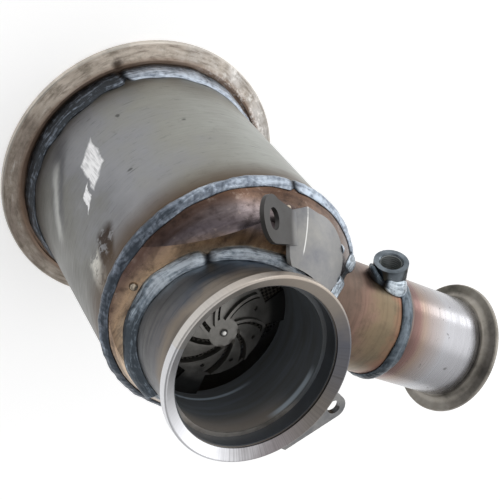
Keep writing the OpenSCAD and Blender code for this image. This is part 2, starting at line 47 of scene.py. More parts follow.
def linear(code):
    """sRGB hex to linear: a channel c is c / 12.92 up to 0.04045, and ((c + 0.055) / 1.055) ** 2.4 above."""
    c = np.array([int(code[i:i + 2], 16) for i in (1, 3, 5)]) / 255
    return (*np.where(c <= 0.04045, c / 12.92, ((c + 0.055) / 1.055) ** 2.4).tolist(), 1.0)


def add(tree, kind, inputs=None, out=0, stops=None, **settings):
    """Adds one node with its settings, colour stops and inputs. An input is known by its name or number,
    and it is a value, a hex colour or another node's socket."""
    node = tree.nodes.new("ShaderNode" + kind)
    for key, value in settings.items():
        setattr(node, key, value)
    for i, (at, code) in enumerate(stops or ()):
        stop = node.color_ramp.elements[i] if i < 2 else node.color_ramp.elements.new(at)
        stop.position, stop.color = at, linear(code)
    for key, value in (inputs or {}).items():
        if isinstance(value, bpy.types.NodeSocket):
            tree.links.new(value, node.inputs[key])
        else:
            node.inputs[key].default_value = linear(value) if isinstance(value, str) else value
    return node.outputs[out]


def new_material(name, rough=0.4, metal=1.0):
    """Starts a material: gives it, its node tree, its shader and the piece's own coordinates in metres."""
    material = bpy.data.materials.new(name)
    material.use_nodes = True
    tree = material.node_tree
    shader = tree.nodes["Principled BSDF"]
    shader.inputs["Metallic"].default_value = metal
    shader.inputs["Roughness"].default_value = rough
    return material, tree, shader, add(tree, "TexCoord", out=3)


def tint(tree, skin, code, pattern, start=0.0, full=1.0, strength=1.0, within=None, **settings):
    """Lays a colour over a skin, from none where a pattern is at start to a strength where it is at full,
    and only within a mask where one is given."""
    amount = add(tree, "MapRange", {0: pattern, 1: start, 2: full, 3: 0.0, 4: strength}, **settings)
    if within is not None:
        amount = add(tree, "Math", {0: amount, 1: within}, operation="MULTIPLY")
    return add(tree, "Mix", {0: amount, 6: skin, 7: code}, out=2, data_type="RGBA")


def dress(tree, shader, skin, gloss=None, relief=None, **settings):
    """Links a skin to its shader, with a gloss of (pattern, roughness at 0.3 of it, roughness at 0.7)
    and a relief of (pattern, strength, depth in metres)."""
    tree.links.new(skin, shader.inputs["Base Color"])
    if gloss:
        pattern, low, high = gloss
        rough = add(tree, "MapRange", {0: pattern, 1: 0.3, 2: 0.7, 3: low, 4: high})
        tree.links.new(rough, shader.inputs["Roughness"])
    if relief:
        pattern, strength, depth = relief
        bump = add(tree, "Bump", {"Strength": strength, "Distance": depth, "Height": pattern}, **settings)
        tree.links.new(bump, shader.inputs["Normal"])


def from_axis(tree, place):
    """A place with its Z taken out, and its distance from the Z axis."""
    flat = add(tree, "VectorMath", {0: place, 1: (1, 1, 0)}, operation="MULTIPLY")
    return flat, add(tree, "VectorMath", {0: flat}, out=1, operation="LENGTH")


def wear(node, material):
    """Puts a material on a carried-over solid."""
    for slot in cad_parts[node].material_slots:
        slot.material = material


# A soft change eases in and out. The far side is the one away from the outlet.
soft = {"interpolation_type": "SMOOTHSTEP"}
flange_r = 0.0944
far_side = (-0.77, -0.64, 0)
burn_mark = (-0.0572, 0.0644, 0.0086)

flange_steel, tree, shader, co = new_material("turned stainless steel")
flat, radius = from_axis(tree, co)
cloud = add(tree, "TexNoise", {"Vector": co, "Scale": 1 / 0.0333, "Detail": 5.0, "Roughness": 0.62})
drift = add(tree, "MapRange", {0: cloud, 1: 0.3, 2: 0.7, 3: -0.2, 4: 0.2})
# Painted shade: the flange is darker towards its far side, where less light falls, with random drift.
side = add(tree, "VectorMath", {0: co, 1: far_side}, out=1, operation="DOT_PRODUCT")
shading_tone = add(tree, "MapRange", {0: side, 1: -0.09, 2: 0.09})
shading_tone = add(tree, "Math", {0: shading_tone, 1: drift}, operation="ADD")
skin = add(tree, "ValToRGB", {0: shading_tone}, stops=[(0.0, "#b5b1ad"), (0.3, "#bcb2a7"), (0.55, "#c9beb2"),
                                               (0.78, "#bbb0a4"), (1.0, "#a0948a")])
level = add(tree, "Math", {0: radius, 1: 1 / 0.0022}, operation="MULTIPLY")
level = add(tree, "CombineXYZ", {2: level})
outward = add(tree, "VectorMath", {0: flat}, operation="NORMALIZE")
streak_turns = flange_r / 0.0135
hoops = add(tree, "VectorMath", {0: outward, 1: (streak_turns, streak_turns, 0), 2: level},
            operation="MULTIPLY_ADD")
turned = add(tree, "TexNoise", {"Vector": hoops, "Scale": 1.0, "Detail": 5.0, "Roughness": 0.65})
skin = tint(tree, skin, "#6f655b", turned, 0.48, 0.68, 0.75)
skin = tint(tree, skin, "#ddd8d2", turned, 0.42, 0.3, 0.6)
worn = add(tree, "TexNoise", {"Vector": co, "Scale": 1 / 0.0111, "Detail": 6.0, "Roughness": 0.75})
skin = tint(tree, skin, "#736c5f", worn, 0.48, 0.7, 0.7)
skin = tint(tree, skin, "#7d6656", radius, 0.0872, 0.0828, 0.8, **soft)
rubbed = add(tree, "TexNoise", {"Vector": co, "Scale": 1 / 0.00667, "Detail": 4.0, "Roughness": 0.7})
outlet_side = add(tree, "MapRange", {0: side, 1: -0.03, 2: -0.085}, **soft)
skin = tint(tree, skin, "#e3e0dc", rubbed, 0.52, 0.7, within=outlet_side)
apart = add(tree, "VectorMath", {0: co, 1: burn_mark}, out=1, operation="DISTANCE")
apart = add(tree, "Math", {0: rubbed, 1: 0.006, 2: apart}, operation="MULTIPLY_ADD")
skin = tint(tree, skin, "#3a2f28", apart, 0.0085, 0.0035, 0.9, **soft)
# Painted highlight: a thin pale band along the rim.
skin = tint(tree, skin, "#e6e2da", radius, flange_r - 0.0012, flange_r - 0.0003, 0.45, **soft)
lathe = add(tree, "CombineXYZ", {0: radius})
lines = add(tree, "TexNoise", {"Vector": lathe, "Scale": 1 / 0.000625, "Detail": 2.0})
dress(tree, shader, skin, gloss=(cloud, 0.34, 0.52), relief=(lines, 0.12, 0.0002))
wear("can_flange", flange_steel)


# Can shell. Sheet stainless steel rolled into a can and seam welded, satin from handling.
# It carries a scorched scrape, a pale smear and a brown heat band by each ring weld; a shallow dent is drawn
# only as painted shade and highlight, bright patches are painted reflections of a window, and the can is
# painted lighter on the outlet side as light and darker on the far side as shade.
# Places on it are metres round the can and up it, as on the sheet rolled out flat.

can_r = 0.077
can_top = 0.1575
sheet_turn = math.radians(-150)
dent_from, dent_to = np.array([0.0363, 0.0416]), np.array([0.0639, 0.0777])
dent_shade, dent_glint = np.array([-0.004, -0.012]), np.array([0.007, 0])
smear_from, smear_to = np.array([0.053, 0.130]), np.array([0.0585, 0.1555])
scorch_from, scorch_to = np.array([0.0367, 0.1263]), np.array([0.0475, 0.1482])
dark_specks = (((0.0055, 0.1054), 0.0022), ((-0.0391, 0.0804), 0.0016), ((-0.008, 0.0494), 0.0024))
painted_reflections = (((0.0209, 0.0729), (0.0163, 0.0424), (0.0142, -0.0142)),
                  ((0.0352, 0.0925), (0.0095, 0.0215), (0.0052, -0.0045)))

can_steel, tree, shader, co = new_material("rolled stainless sheet")
part = add(tree, "SeparateXYZ", {0: add(tree, "Mapping", {"Vector": co, "Rotation": (0, 0, sheet_turn)})})
angle = add(tree, "Math", {0: part.node.outputs[1], 1: part}, operation="ARCTAN2")
around = add(tree, "Math", {0: angle, 1: can_r}, operation="MULTIPLY")
height = part.node.outputs[2]
sheet = add(tree, "CombineXYZ", {0: around, 1: height})
cloud = add(tree, "TexNoise", {"Vector": co, "Scale": 1 / 0.0556, "Detail": 4.0, "Roughness": 0.55})
# Rolling lines are really about 0.2 mm wide; they are drawn at 1.4 mm, so that they show.
rolled = add(tree, "Mapping", {"Vector": sheet, "Scale": (1 / 0.0167, 1 / 0.00143, 1)})
grain = add(tree, "TexNoise", {"Vector": rolled, "Scale": 1.0, "Detail": 3.0})
stain = add(tree, "TexNoise", {"Vector": co, "Scale": 1 / 0.00625, "Detail": 5.0, "Roughness": 0.7})
fret = add(tree, "TexNoise", {"Vector": sheet, "Scale": 1 / 0.0077, "Detail": 3.0}, out=1)
fret = add(tree, "VectorMath", {0: fret, 1: (0.5, 0.5, 0.5)}, operation="SUBTRACT")
fret = add(tree, "VectorMath", {0: fret, "Scale": 0.006}, operation="SCALE")
frayed = add(tree, "VectorMath", {0: fret, 1: sheet}, operation="ADD")

# Painted light and shade: lighter on the outlet side and darker round the far side, with random drift.
drift = add(tree, "MapRange", {0: cloud, 1: 0.3, 2: 0.7, 3: -0.2, 4: 0.2})
sideways = add(tree, "Math", {0: angle}, operation="SINE")
shading_tone = add(tree, "MapRange", {0: sideways, 1: -0.92, 2: 1.0})
shading_tone = add(tree, "Math", {0: shading_tone, 1: drift}, operation="ADD")
skin = add(tree, "ValToRGB", {0: shading_tone}, stops=[(0.0, "#9d9f99"), (0.28, "#8f8f89"), (0.5, "#8d8e91"),
                                               (0.66, "#818285"), (0.82, "#757571"), (1.0, "#605f5b")])
skin = tint(tree, skin, "#6a6a66", stain, 0.58, 0.75, 0.35)
# The dent is not in the shape: its shaded band and dark crease are painted shade, and the band beside them is
# a painted highlight; the smear and the scorch are real marks.
for begin, finish, wide, code, deep, scraped in (
        (dent_from + dent_shade, dent_to + dent_shade, 0.012, "#5c5d61", 0.85, False),
        (dent_from + dent_glint, dent_to + dent_glint, 0.008, "#b7b8b5", 0.85, False),
        (dent_from, dent_to, 0.0055, "#515255", 0.7, False),
        (smear_from, smear_to, 0.009, "#cfcdc5", 1.0, True),
        (scorch_from, scorch_to, 0.0095, "#2b1d14", 1.0, True)):
    length = np.linalg.norm(finish - begin)
    run = (finish - begin) / length
    off = add(tree, "VectorMath", {0: frayed, 1: (*begin.tolist(), 0)}, operation="SUBTRACT")
    beside = add(tree, "VectorMath", {0: off, 1: (run[1], -run[0], 0)}, out=1, operation="DOT_PRODUCT")
    beside = add(tree, "Math", {0: beside}, operation="ABSOLUTE")
    along = add(tree, "VectorMath", {0: off, 1: (*run.tolist(), 0)}, out=1, operation="DOT_PRODUCT")
    middle = add(tree, "Math", {0: along, 1: length / 2}, operation="SUBTRACT")
    middle = add(tree, "Math", {0: middle}, operation="ABSOLUTE")
    within = add(tree, "MapRange", {0: middle, 1: length * 0.7, 2: length * 0.35}, **soft)
    if scraped:
        broken = add(tree, "MapRange", {0: stain, 1: 0.42, 2: 0.48})
        within = add(tree, "Math", {0: within, 1: broken}, operation="MULTIPLY")
    skin = tint(tree, skin, code, beside, wide, wide * 0.4 if scraped else 0.0, deep, within, **soft)
scuffed = add(tree, "Mapping", {"Vector": sheet, "Rotation": (0, 0, 0.5),
                                "Scale": (1 / 0.012, 1 / 0.0018, 1)})
scuffs = add(tree, "TexNoise", {"Vector": scuffed, "Scale": 1.0, "Detail": 4.0, "Roughness": 0.6})
skin = tint(tree, skin, "#55565a", scuffs, 0.6, 0.74, 0.65)
skin = tint(tree, skin, "#a3a39f", scuffs, 0.4, 0.26, 0.3)
for centre, wide in dark_specks:
    apart = add(tree, "VectorMath", {0: frayed, 1: (*centre, 0)}, out=1, operation="DISTANCE")
    skin = tint(tree, skin, "#3d3c3a", apart, wide, wide * 0.4, 0.75, **soft)
# Painted reflections: bright patches where the dent mirrors a window, broken by streaks.
swept = add(tree, "Mapping", {"Vector": sheet, "Rotation": (0, 0, 0.9),
                              "Scale": (1 / 0.00111, 1 / 0.0111, 1)})
glare_streaks = add(tree, "TexNoise", {"Vector": swept, "Scale": 1.0, "Detail": 3.0})
glare_streaks = add(tree, "MapRange", {0: glare_streaks, 1: 0.3, 2: 0.55, 3: 0.45, 4: 1.0})
for centre, long, short in painted_reflections:
    diamond = np.linalg.inv(np.array([long, short]).T / 2)
    off = add(tree, "VectorMath", {0: frayed, 1: (*centre, 0)}, operation="SUBTRACT")
    p, q = (add(tree, "VectorMath", {0: off, 1: (*row, 0)}, out=1, operation="DOT_PRODUCT")
            for row in diamond.tolist())
    p, q = (add(tree, "Math", {0: reach}, operation="ABSOLUTE") for reach in (p, q))
    outside = add(tree, "Math", {0: p, 1: q}, operation="ADD")
    skin = tint(tree, skin, "#f0f0f1", outside, 1.05, 0.85, within=glare_streaks)
edge = add(tree, "Math", {0: cloud, 1: 0.014, 2: height}, operation="MULTIPLY_ADD")
heat = add(tree, "ValToRGB", {0: add(tree, "MapRange", {0: edge, 1: 0.124, 2: 0.161})},
           stops=[(0.0, "#000000"), (0.45, "#5c5c5c"), (0.78, "#d8d8d8"), (1.0, "#f8f8f8")])
skin = tint(tree, skin, "#4c3a26", heat)
skin = tint(tree, skin, "#5d574f", edge, 0.034, 0.027, 0.55, **soft)
dress(tree, shader, skin, gloss=(grain, 0.3, 0.44), relief=(grain, 0.1, 0.0002))
wear("can_shell", can_steel)


# Ring welds. Beads of steel laid in one pass, with a ripple for each pause of the torch.
# Bluish white where the shielding gas held and slate where it failed, in patches; each bead is also painted
# paler towards one side as light and darker away from it as shade, and dark at both edges.


def bead(name, path, across, out, half, crown, end, pitch, ripple, lump, seed, rows=14, begun=(), back=None):
    """A bead along a closed path: point = path + half cos(t) across + crown sin(t) out, with t from 0 to end.
    It swells by ripple |sin(pi n)|, n counting the ripples, and by lumps, a sum of sines, and it dips where a
    run was begun. Past the crown, where cos(t) is negative, the bead lies along back instead of across."""
    lump_short, lump_long, lump_count = 0.005, 0.03, 16
    dip_half, root_depth = 0.0022, 0.0006
    step = np.linalg.norm(np.roll(path, -1, 0) - path, axis=1)
    length = step.sum()
    s = ((np.cumsum(step) - step) / length)[:, None]
    t = np.linspace(0, end, rows)[None]
    q = t / end
    turn = 2 * np.pi * s
    # Ripples are bowed like crescents and unevenly spaced; the bead itself wanders in size.
    n = round(length / pitch) * s + 0.3 * np.sin(11 * turn) - 0.5 * np.cos(np.pi * q) ** 2
    swell = np.abs(np.sin(np.pi * n)) ** 0.8
    chance = np.random.default_rng(seed)
    waves = np.round(length / chance.uniform(lump_short, lump_long, lump_count))
    tilt = chance.uniform(-4, 4, lump_count)
    phase = chance.uniform(0, 2 * np.pi, lump_count)
    lumps = np.sin(turn[..., None] * waves + q[..., None] * tilt + phase).sum(-1) / lump_count ** 0.5
    dip = sum(np.exp(-((s - at - 0.004 * (q - 0.5)) * length / dip_half) ** 2) for at in begun) + 0 * swell
    size = 1 + 0.07 * np.sin(5 * turn) + 0.05 * np.sin(np.round(length / 0.025) * turn + 1) - 0.4 * dip
    grow = ripple * (swell - 0.6) * (0.65 + 0.35 * np.sin(9 * turn)) + lump * lumps
    grow = grow * np.sin(np.pi * q) ** 0.5
    reach = (np.reshape(half, (-1, 1)) * size + grow) * np.cos(t)
    rise = (np.reshape(crown, (-1, 1)) * size + grow) * np.sin(t)
    flank = np.where(reach[..., None] > 0, across[:, None], (across if back is None else back)[:, None])
    skin = path[:, None] + reach[..., None] * flank + rise[..., None] * out[:, None]
    under = path - root_depth * (np.cos(end / 2) * across + np.sin(end / 2) * out)
    points = np.concatenate([skin, under[:, None]], axis=1)
    k, m = points.shape[:2]
    i, j = np.meshgrid(np.arange(k), np.arange(m), indexing="ij")
    on, over = (i + 1) % k, (j + 1) % m
    quads = np.stack([i * m + j, on * m + j, on * m + over, i * m + over], -1).reshape(-1, 4)
    a, b, c, d = (points.reshape(-1, 3)[quads[:, v]] for v in range(4))
    outward = (a + b + c + d) / 4 - np.repeat(under, m, 0)
    if np.einsum("ij,ij->i", outward, np.cross(c - a, d - b)).sum() < 0:
        quads = quads[:, ::-1]
    mesh = bpy.data.meshes.new(name)
    mesh.from_pydata(points.reshape(-1, 3).tolist(), [], quads.tolist())
    mesh.shade_smooth()
    for label, value in (("crest", swell), ("across", q + 0 * swell), ("begun", dip)):
        value = np.concatenate([value, np.zeros((k, 1))], axis=1).ravel().astype(np.float32)
        mesh.attributes.new(label, "FLOAT", "POINT").data.foreach_set("value", value)
    path_r = length / (2 * np.pi)
    flow = np.broadcast_arrays(path_r * np.cos(turn), path_r * np.sin(turn), q * np.mean(half + crown))
    flow = np.stack(flow, -1)
    flow = np.concatenate([flow, flow[:, :1]], axis=1).ravel().astype(np.float32)
    mesh.attributes.new("flow", "FLOAT_VECTOR", "POINT").data.foreach_set("vector", flow)
    piece = bpy.data.objects.new(name, mesh)
    bpy.context.scene.collection.objects.link(piece)
    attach(piece, "root")
    return piece


def weld_steel(name, pale, mid, dark, toward, low, high, size):
    """Weld metal: strands along the bead over patches of a given size, painted paler from low to high along
    the direction it is given, as light and shade."""
    material, tree, shader, co = new_material(name)
    flow = add(tree, "Attribute", out=1, attribute_name="flow")
    across, crest, begun = (add(tree, "Attribute", out=2, attribute_name=label)
                            for label in ("across", "crest", "begun"))
    patch = add(tree, "TexNoise", {"Vector": co, "Scale": 1 / size, "Detail": 5.0, "Roughness": 0.65})
    pulled = add(tree, "Mapping", {"Vector": flow, "Scale": (1 / 0.015, 1 / 0.015, 1 / 0.0021)})
    strand = add(tree, "TexNoise", {"Vector": pulled, "Scale": 1.0, "Detail": 5.0, "Roughness": 0.65,
                                    "Distortion": 0.8})
    grit = add(tree, "TexNoise", {"Vector": co, "Scale": 1 / 0.00303, "Detail": 5.0, "Roughness": 0.7})
    speck = add(tree, "MapRange", {0: grit, 1: 0.3, 2: 0.7, 3: -0.08, 4: 0.08})
    lean = add(tree, "VectorMath", {0: co, 1: toward}, out=1, operation="DOT_PRODUCT")
    # Painted light: paler towards the given direction, darker away from it.
    painted_light = add(tree, "MapRange", {0: lean, 1: low, 2: high, 3: -0.45, 4: -0.12}, **soft)
    # Ripple crests are painted lighter and the hollows darker, as light and shade.
    ripple = add(tree, "MapRange", {0: crest, 3: -0.04, 4: 0.02})
    mix = add(tree, "Math", {0: patch, 1: 0.5, 2: painted_light}, operation="MULTIPLY_ADD")
    mix = add(tree, "Math", {0: strand, 1: 0.95, 2: mix}, operation="MULTIPLY_ADD")
    for part in (ripple, speck):
        mix = add(tree, "Math", {0: mix, 1: part}, operation="ADD")
    skin = add(tree, "ValToRGB", {0: mix}, stops=[(0.3, dark), (0.47, mid), (0.66, pale)])
    rim = add(tree, "Math", {0: across, 1: 0.5}, operation="SUBTRACT")
    rim = add(tree, "Math", {0: rim}, operation="ABSOLUTE")
    skin = tint(tree, skin, "#4a443d", rim, 0.41, 0.5, 0.45, **soft)
    skin = tint(tree, skin, "#2a2c30", begun)
    dress(tree, shader, skin, gloss=(strand, 0.44, 0.28), relief=(mix, 0.6, 0.0012))
    return material


def ring(radius, z, count):
    """Points of a level circle about the can axis, with the outward direction at each."""
    turn = np.linspace(0, 2 * np.pi, count, endpoint=False)
    out = np.stack([np.cos(turn), np.sin(turn), 0 * turn], 1)
    return radius * out + np.array([0, 0, z]), out


up = np.array([0, 0, 1.0])
ring_steps = 1500
flange_floor = 0.0062

foot, out = ring(can_r, flange_floor, ring_steps)
can_flange_bead = bead("can_flange_bead", foot, np.tile(up, (ring_steps, 1)), out, half=0.0138, crown=0.0034,
                       end=np.pi / 2, pitch=0.0052, ripple=0.00015, lump=0.0003, seed=1, rows=16,
                       begun=(131 / 360,))
can_flange_bead.data.materials.append(weld_steel(
    "weld metal, flange", "#ccd6e3", "#8b95a3", "#474b50", (0.766, 0.643, 0), -0.006, 0.002, size=0.02))
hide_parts("can_flange_weld")

seam, out = ring(can_r, can_top, ring_steps)
dome_bead = bead("dome_bead", seam, 0.9 * up - 0.44 * out, 0.97 * out + 0.24 * up, half=0.0052, crown=0.0019,
                 end=np.pi, pitch=0.0036, ripple=0.00018, lump=0.0002, seed=2, begun=(94.5 / 360,),
                 back=np.tile(0.7 * up, (ring_steps, 1)))
dome_bead.data.materials.append(weld_steel(
    "weld metal, dome", "#bac5d2", "#808996", "#4e555e", (0.6, 0.8, 0), -0.08, 0.08, size=0.011))
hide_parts("dome_weld")


# Filter brick. Square blocks of porous silicon carbide set in cement, wrapped in a swelling mat
# that two knitted wire rings keep in. It is pressed into the can and touches nothing else.

# Silicon carbide: dull grey, with 1.8 mm channels stopped by turns at this end, the open ones painted dark as
# the shade in them, and some soot.
brick_ceramic, tree, shader, co = new_material("porous silicon carbide", 0.85, metal=0.0)
cells = add(tree, "TexChecker", {"Vector": co, "Color1": "#a5a199", "Color2": "#57544f", "Scale": 1 / 0.0018})
cloud = add(tree, "TexNoise", {"Vector": co, "Scale": 1 / 0.025, "Detail": 4.0})
skin = tint(tree, cells, "#4d4a45", cloud, 0.35, 0.65, 0.45)
dress(tree, shader, skin, relief=(cells, 0.5, 0.0003))
wear("filter_segments", brick_ceramic)

# Cement: pale, chalky and grainy.
cement, tree, shader, co = new_material("fired cement", 0.95, metal=0.0)
cloud = add(tree, "TexNoise", {"Vector": co, "Scale": 1 / 0.00333, "Detail": 4.0})
skin = add(tree, "ValToRGB", {0: cloud}, stops=[(0.3, "#77736a"), (0.7, "#a39d90")])
dress(tree, shader, skin, relief=(cloud, 0.4, 0.0003))
wear("filter_cement", cement)

# Mat: cream felt. Its fibres are a few microns thick; tufts of 1.4 mm are drawn, so that they show.
mat_fibre, tree, shader, co = new_material("ceramic fibre mat", 0.95, metal=0.0)
fibres = add(tree, "TexNoise", {"Vector": co, "Scale": 1 / 0.00143, "Detail": 5.0, "Distortion": 1.5})
skin = add(tree, "ValToRGB", {0: fibres}, stops=[(0.3, "#b7ae9b"), (0.7, "#e2dccb")])
dress(tree, shader, skin, relief=(fibres, 0.6, 0.0004))
wear("support_mat", mat_fibre)

# Wire: bright loops of 1.4 mm, with the gaps between them painted dark as shade.
wire_mesh, tree, shader, co = new_material("knitted steel wire", 0.35)
loops = add(tree, "TexVoronoi", {"Vector": co, "Scale": 1 / 0.00143}, feature="DISTANCE_TO_EDGE")
skin = add(tree, "ValToRGB", {0: loops}, stops=[(0.02, "#9a9c9e"), (0.25, "#2c2d2e")])
dress(tree, shader, skin, relief=(loops, 0.7, 0.0004), invert=True)
wear("mat_rings", wire_mesh)


# End dome. A ball-shaped pressing of stainless steel with a flat beside the neck, welded on the can's edge.
# Heat has tinted it: copper brown to purple on the ball, gold on the flat next to the neck weld; lighter and
# darker bands among these tints are painted highlight and shade.
# Fine drawing lines run level round it, and soot and grime lie in patches.

ball_sink = 0.0365
ball = np.array([0, 0, can_top - ball_sink])
ball_r = math.hypot(can_r, ball_sink)
facet_lean = math.radians(19.3)
facet = np.array([-math.sin(facet_lean), 0, math.cos(facet_lean)])
facet_top = np.array([0, 0, 0.186])

neck_tilt = math.radians(7)
neck_axis = np.array([0, math.sin(neck_tilt), math.cos(neck_tilt)])
neck_side = np.array([0, math.cos(neck_tilt), -math.sin(neck_tilt)])
neck_mouth = np.array([-0.006, -0.0076, 0.221])
neck_r = 0.050
upright = np.array([[1, 0, 0], neck_side, neck_axis])
neck_place = {"Rotation": (neck_tilt, 0, 0), "Location": tuple((-upright @ neck_mouth).tolist())}

dome_steel, tree, shader, co = new_material("heat tinted stainless pressing")
radius = from_axis(tree, add(tree, "Mapping", {"Vector": co, **neck_place}))[1]
cloud = add(tree, "TexNoise", {"Vector": co, "Scale": 1 / 0.0385, "Detail": 5.0, "Roughness": 0.6})
blur = add(tree, "Math", {0: cloud, 1: 0.012, 2: -0.006}, operation="MULTIPLY_ADD")
reach = add(tree, "Math", {0: radius, 1: blur}, operation="ADD")
# The ramp round the neck holds the heat tints and also bands of painted highlight and painted shade; the pale
# gold by the neck weld is a painted highlight.
skin = add(tree, "ValToRGB", {0: add(tree, "MapRange", {0: reach, 1: 0.054, 2: 0.09})},
           stops=[(0.0, "#d0bba2"), (0.15, "#bca084"), (0.3, "#998374"), (0.4, "#82777a"), (0.47, "#6b6267"),
                  (0.56, "#766c6e"), (0.66, "#817778"), (0.74, "#786b68"), (0.84, "#735f53"),
                  (1.0, "#7a665a")])
# Drawing lines are really under 0.5 mm wide; they are drawn at 2.6 mm, so that they show.
pressed = add(tree, "Mapping", {"Vector": co, "Scale": (1 / 0.0357, 1 / 0.0357, 1 / 0.00263)})
drawn = add(tree, "TexNoise", {"Vector": pressed, "Scale": 1.0, "Detail": 5.0, "Roughness": 0.65})
skin = tint(tree, skin, "#4a413f", drawn, 0.45, 0.66, 0.75)
above = add(tree, "Math", {0: add(tree, "SeparateXYZ", {0: co}, out=2), 1: blur}, operation="ADD")
outer = add(tree, "MapRange", {0: reach, 1: 0.06, 2: 0.069}, **soft)
skin = tint(tree, skin, "#644a3b", above, can_top + 0.014, can_top + 0.005, 0.7, outer, **soft)
grime = add(tree, "TexNoise", {"Vector": co, "Scale": 1 / 0.007, "Detail": 6.0, "Roughness": 0.75})
skin = tint(tree, skin, "#332b29", grime, 0.5, 0.68, 0.65)
skin = tint(tree, skin, "#b9aaa0", grime, 0.42, 0.3, 0.45)
dress(tree, shader, skin, gloss=(cloud, 0.16, 0.32), relief=(drawn, 0.12, 0.0003))
wear("end_dome", dome_steel)


# Neck tube and sleeve. A short wide tube through the dome and a thin sleeve pressed into it,
# both of stainless steel. The heat blued and browned the tube outside, and soot blackened it inside.

neck_steel, tree, shader, co = new_material("blued stainless tube")
local = add(tree, "Mapping", {"Vector": co, **neck_place})
radius = from_axis(tree, local)[1]
depth = add(tree, "SeparateXYZ", {0: local}, out=2)
cloud = add(tree, "TexNoise", {"Vector": co, "Scale": 1 / 0.0333, "Detail": 5.0, "Roughness": 0.62})
blur = add(tree, "Math", {0: cloud, 1: 0.03, 2: -0.015}, operation="MULTIPLY_ADD")
down = add(tree, "Math", {0: depth, 1: blur}, operation="ADD")
skin = add(tree, "ValToRGB", {0: add(tree, "MapRange", {0: down, 1: -0.05, 2: -0.005})},
           stops=[(0.0, "#b3bbc3"), (0.3, "#8f979f"), (0.5, "#6f7a88"), (0.7, "#a39a8f"), (0.86, "#938c84"),
                  (1.0, "#b0a494")])
left = add(tree, "VectorMath", {0: local, 1: (-0.85, -0.53, 0)}, out=1, operation="DOT_PRODUCT")
skin = tint(tree, skin, "#665c52", left, 0.012, 0.042, 0.6, **soft)
# Rolling lines, drawn coarse at 2.4 mm, so that they show.
hoops = add(tree, "Mapping", {"Vector": local, "Scale": (1 / 0.0333, 1 / 0.0333, 1 / 0.00238)})
rolled = add(tree, "TexNoise", {"Vector": hoops, "Scale": 1.0, "Detail": 4.0})
skin = tint(tree, skin, "#3a3e45", rolled, 0.5, 0.8, 0.6)
inner = add(tree, "MapRange", {0: radius, 1: neck_r - 0.0008, 2: neck_r - 0.0012})
sooty = add(tree, "ValToRGB", {0: cloud}, stops=[(0.3, "#3b3d40"), (0.7, "#4b5056")])
skin = tint(tree, skin, sooty, inner)
tree.links.new(add(tree, "MapRange", {0: inner, 3: 1.0, 4: 0.0}), shader.inputs["Metallic"])
dress(tree, shader, skin, gloss=(cloud, 0.3, 0.5))
wear("neck_tube", neck_steel)

# Sleeve: sooted; the tan ledge and band where it ends near the mouth are painted on the lower side only, as
# light falling in, and two pale lines are painted highlights.
sleeve_end = -0.0152
glint_depth = -0.0168
low_glint_depth = -0.0505
sleeve_steel, tree, shader, co = new_material("sooted stainless sleeve")
local = add(tree, "Mapping", {"Vector": co, **neck_place})
depth = add(tree, "SeparateXYZ", {0: local}, out=2)
cloud = add(tree, "TexNoise", {"Vector": co, "Scale": 1 / 0.0222, "Detail": 5.0, "Roughness": 0.65})
hoops = add(tree, "Mapping", {"Vector": local, "Scale": (1 / 0.04, 1 / 0.04, 1 / 0.00385)})
streaks = add(tree, "TexNoise", {"Vector": hoops, "Scale": 1.0, "Detail": 3.0})
skin = add(tree, "ValToRGB", {0: streaks}, stops=[(0.35, "#5b5d5e"), (0.75, "#6b727a")])
below = add(tree, "VectorMath", {0: local, 1: (0.26, -0.97, 0)}, out=1, operation="DOT_PRODUCT")
aside = add(tree, "VectorMath", {0: local, 1: (0.95, -0.31, 0)}, out=1, operation="DOT_PRODUCT")
# Painted light: the band and the ledge are tan only on the lower side, where light falls into the mouth.
lower = add(tree, "MapRange", {0: below, 1: 0.024, 2: 0.04}, **soft)
lowest = add(tree, "MapRange", {0: below, 1: 0.034, 2: 0.043})
aside = add(tree, "MapRange", {0: aside, 1: 0.0405, 2: 0.045}, **soft)
low_glint, glint = (add(tree, "Math", {0: depth, 1: at}, operation="SUBTRACT") for at in (low_glint_depth, glint_depth))
low_glint, glint = (add(tree, "Math", {0: line}, operation="ABSOLUTE") for line in (low_glint, glint))
# Painted highlights: two pale lines, low in the sleeve and just below its end.
skin = tint(tree, skin, "#b9c8d6", low_glint, 0.0016, 0.0004, 0.9, lowest)
skin = tint(tree, skin, "#8c847c", depth, -0.034, -0.017, 0.85, lower, **soft)
skin = tint(tree, skin, "#c9d6e2", glint, 0.0026, 0.0008, 0.8, aside, **soft)
ledge = add(tree, "MapRange", {0: depth, 1: sleeve_end, 2: sleeve_end + 0.0009})
ledge = add(tree, "Math", {0: ledge, 1: lower}, operation="MULTIPLY")
tan = add(tree, "ValToRGB", {0: cloud}, stops=[(0.3, "#8f8982"), (0.7, "#c6c2bd")])
skin = tint(tree, skin, tan, ledge)
tree.links.new(add(tree, "MapRange", {0: ledge, 3: 0.0, 4: 0.9}), shader.inputs["Metallic"])
dress(tree, shader, skin, gloss=(cloud, 0.3, 0.5))
wear("mixer_sleeve", sleeve_steel)


# Swirl plate. Pressed sheet steel with curved slots whose edges are turned up, on three legs in the sleeve.
# Grey in clouds, and darker towards its rim, where the neck's rim casts painted shade.

swirl_steel, tree, shader, co = new_material("sooted sheet steel")
radius = from_axis(tree, add(tree, "Mapping", {"Vector": co, **neck_place}))[1]
cloud = add(tree, "TexNoise", {"Vector": co, "Scale": 1 / 0.0143, "Detail": 5.0, "Roughness": 0.65})
skin = add(tree, "ValToRGB", {0: cloud}, stops=[(0.3, "#75736f"), (0.7, "#a09e9a")])
